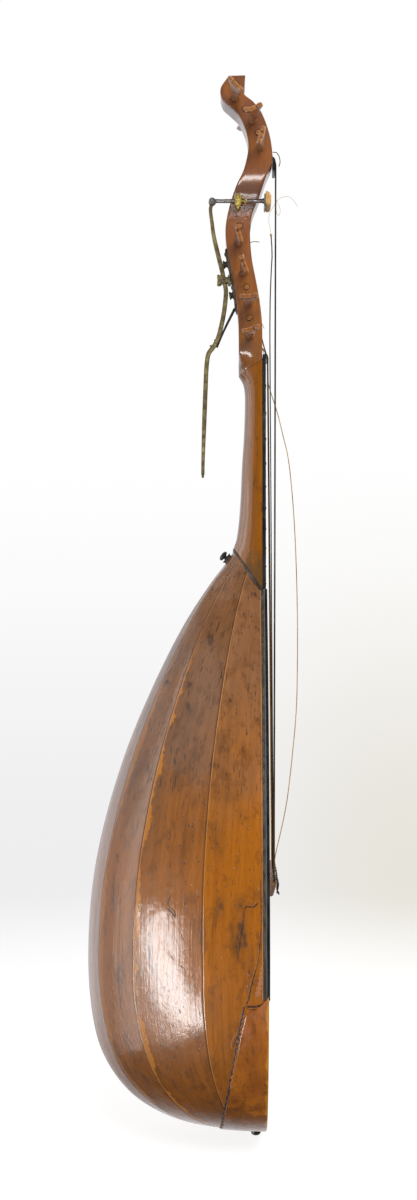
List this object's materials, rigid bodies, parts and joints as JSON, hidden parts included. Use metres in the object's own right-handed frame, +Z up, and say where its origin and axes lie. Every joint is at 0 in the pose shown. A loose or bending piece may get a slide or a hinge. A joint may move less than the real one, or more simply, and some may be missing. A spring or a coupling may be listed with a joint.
{
  "type": "swan-neck theorboed lute",
  "caption": "Pear-shaped lute with a ribbed bowl, fretted neck, double-curved pegbox with wooden pegs, free bass strings and a thumb-worked damper.",
  "frame": {"origin": "flat end of the strap button at the tail, which is where the instrument is held", "axes": "+Z up the neck towards the pegbox, +X out of the soundboard, -Y towards the bass side"},
  "size_m": [0.2446, 0.393, 1.2285],
  "materials": {
    "bowl_wood": "golden-brown varnish, worn, over figured hardwood ribs",
    "neck_wood": "golden-orange varnish, worn",
    "pegbox_wood": "dark reddish-brown varnish",
    "peg_wood": "turned hardwood, rubbed",
    "spruce": "aged softwood, thin varnish",
    "inner_wood": "bare softwood",
    "black_wood": "black-stained hardwood, rubbed",
    "bridge_wood": "greyish-brown stained hardwood",
    "wound_string": "tarnished wire wound on a core",
    "gut": "pale dry gut",
    "dark_steel": "blackened steel",
    "dull_brass": "dull olive-brown brass",
    "steel": "filed steel, slightly rusted",
    "leather": "thick tan leather, frayed",
    "brass": "yellow cast brass"
  },
  "bodies": {
    "instrument": {"rib_1": "bowl_wood", "rib_2": "bowl_wood", "rib_3": "bowl_wood", "rib_4": "bowl_wood", "rib_5": "bowl_wood", "rib_6": "bowl_wood", "rib_7": "bowl_wood", "rib_8": "bowl_wood", "rib_9": "bowl_wood", "end_clasp": "bowl_wood", "soundboard": "spruce", "rose": "spruce", "brace_above_rose": "inner_wood", "brace_below_rose": "inner_wood", "brace_below_bridge": "inner_wood", "tail_block": "inner_wood", "neck_block": "inner_wood", "bass_binding": "black_wood", "treble_binding": "black_wood", "bridge": "bridge_wood", "neck": "neck_wood", "neck_joint_strip": "black_wood", "fingerboard": "black_wood", "nut": "black_wood", "pegbox": "pegbox_wood", "upper_nut": "black_wood", "fretted_string_1": "wound_string", "fretted_string_2": "gut", "fretted_string_3": "wound_string", "fretted_string_4": "gut", "fretted_string_5": "gut", "diapason_string_1": "wound_string", "diapason_string_2": "wound_string", "diapason_string_3": "wound_string", "tied_diapason": "wound_string", "slack_gut_string": "gut", "end_button": "black_wood", "heel_knob": "black_wood", "back_plate": "dark_steel", "pivot_bracket": "dull_brass", "pivot_pin": "steel", "rod_guide": "brass"},
    "lower_peg_1": {"lower_peg_1": "peg_wood"},
    "lower_peg_2": {"lower_peg_2": "peg_wood"},
    "lower_peg_3": {"lower_peg_3": "peg_wood"},
    "lower_peg_4": {"lower_peg_4": "peg_wood"},
    "lower_peg_5": {"lower_peg_5": "peg_wood"},
    "lower_peg_6": {"lower_peg_6": "peg_wood"},
    "lower_peg_7": {"lower_peg_7": "peg_wood"},
    "lower_peg_8": {"lower_peg_8": "peg_wood"},
    "upper_peg_1": {"upper_peg_1": "peg_wood"},
    "upper_peg_2": {"upper_peg_2": "peg_wood"},
    "upper_peg_3": {"upper_peg_3": "peg_wood"},
    "upper_peg_4": {"upper_peg_4": "peg_wood"},
    "upper_peg_5": {"upper_peg_5": "peg_wood"},
    "upper_peg_6": {"upper_peg_6": "peg_wood"},
    "thumb_lever": {"thumb_lever": "dull_brass", "leaf_spring": "dark_steel"},
    "push_rod": {"push_rod": "steel", "damper_pad": "leather"}
  },
  "joints": [
    {"name": "lower_peg_1_turn", "type": "hinge", "parent": "instrument", "child": "lower_peg_1", "pos_m": [-0.0068, 0, 0.9307], "axis": [0, -1, 0], "continuous": true},
    {"name": "lower_peg_2_turn", "type": "hinge", "parent": "instrument", "child": "lower_peg_2", "pos_m": [-0.0077, 0, 0.9513], "axis": [0, 1, 0], "continuous": true},
    {"name": "lower_peg_3_turn", "type": "hinge", "parent": "instrument", "child": "lower_peg_3", "pos_m": [-0.0086, 0, 0.968], "axis": [0, -1, 0], "continuous": true},
    {"name": "lower_peg_4_turn", "type": "hinge", "parent": "instrument", "child": "lower_peg_4", "pos_m": [-0.011, 0, 0.9871], "axis": [0, 1, 0], "continuous": true},
    {"name": "lower_peg_5_turn", "type": "hinge", "parent": "instrument", "child": "lower_peg_5", "pos_m": [-0.0144, 0, 1.004], "axis": [0, -1, 0], "continuous": true},
    {"name": "lower_peg_6_turn", "type": "hinge", "parent": "instrument", "child": "lower_peg_6", "pos_m": [-0.0155, 0, 1.0229], "axis": [0, 1, 0], "continuous": true},
    {"name": "lower_peg_7_turn", "type": "hinge", "parent": "instrument", "child": "lower_peg_7", "pos_m": [-0.02, 0, 1.0386], "axis": [0, -1, 0], "continuous": true},
    {"name": "lower_peg_8_turn", "type": "hinge", "parent": "instrument", "child": "lower_peg_8", "pos_m": [-0.0186, 0, 1.058], "axis": [0, 1, 0], "continuous": true},
    {"name": "upper_peg_1_turn", "type": "hinge", "parent": "instrument", "child": "upper_peg_1", "pos_m": [0.0049, -0.014, 1.1457], "axis": [0, -1, 0], "continuous": true},
    {"name": "upper_peg_2_turn", "type": "hinge", "parent": "instrument", "child": "upper_peg_2", "pos_m": [0.0026, -0.014, 1.1622], "axis": [0, 1, 0], "continuous": true},
    {"name": "upper_peg_3_turn", "type": "hinge", "parent": "instrument", "child": "upper_peg_3", "pos_m": [-0.0035, -0.014, 1.1766], "axis": [0, -1, 0], "continuous": true},
    {"name": "upper_peg_4_turn", "type": "hinge", "parent": "instrument", "child": "upper_peg_4", "pos_m": [-0.0125, -0.014, 1.1896], "axis": [0, 1, 0], "continuous": true},
    {"name": "upper_peg_5_turn", "type": "hinge", "parent": "instrument", "child": "upper_peg_5", "pos_m": [-0.0238, -0.014, 1.203], "axis": [0, -1, 0], "continuous": true},
    {"name": "upper_peg_6_turn", "type": "hinge", "parent": "instrument", "child": "upper_peg_6", "pos_m": [-0.0236, -0.014, 1.218], "axis": [0, 1, 0], "continuous": true},
    {"name": "thumb_press", "type": "hinge", "parent": "instrument", "child": "thumb_lever", "pos_m": [-0.0372, -0.016, 0.9954], "axis": [0, -1, 0], "range_deg": [0, 3], "stiffness_Nm_per_rad": 1.5, "springref_deg": -5.73, "deforming": ["leaf_spring"]},
    {"name": "rod_slide", "type": "slide", "parent": "instrument", "child": "push_rod", "axis": [-1, 0, 0], "range_m": [0, 0.0048]}
  ],
  "couplings": [
    {"joint": "rod_slide", "follows": "thumb_press", "m_per_rad": 0.089}
  ]
}
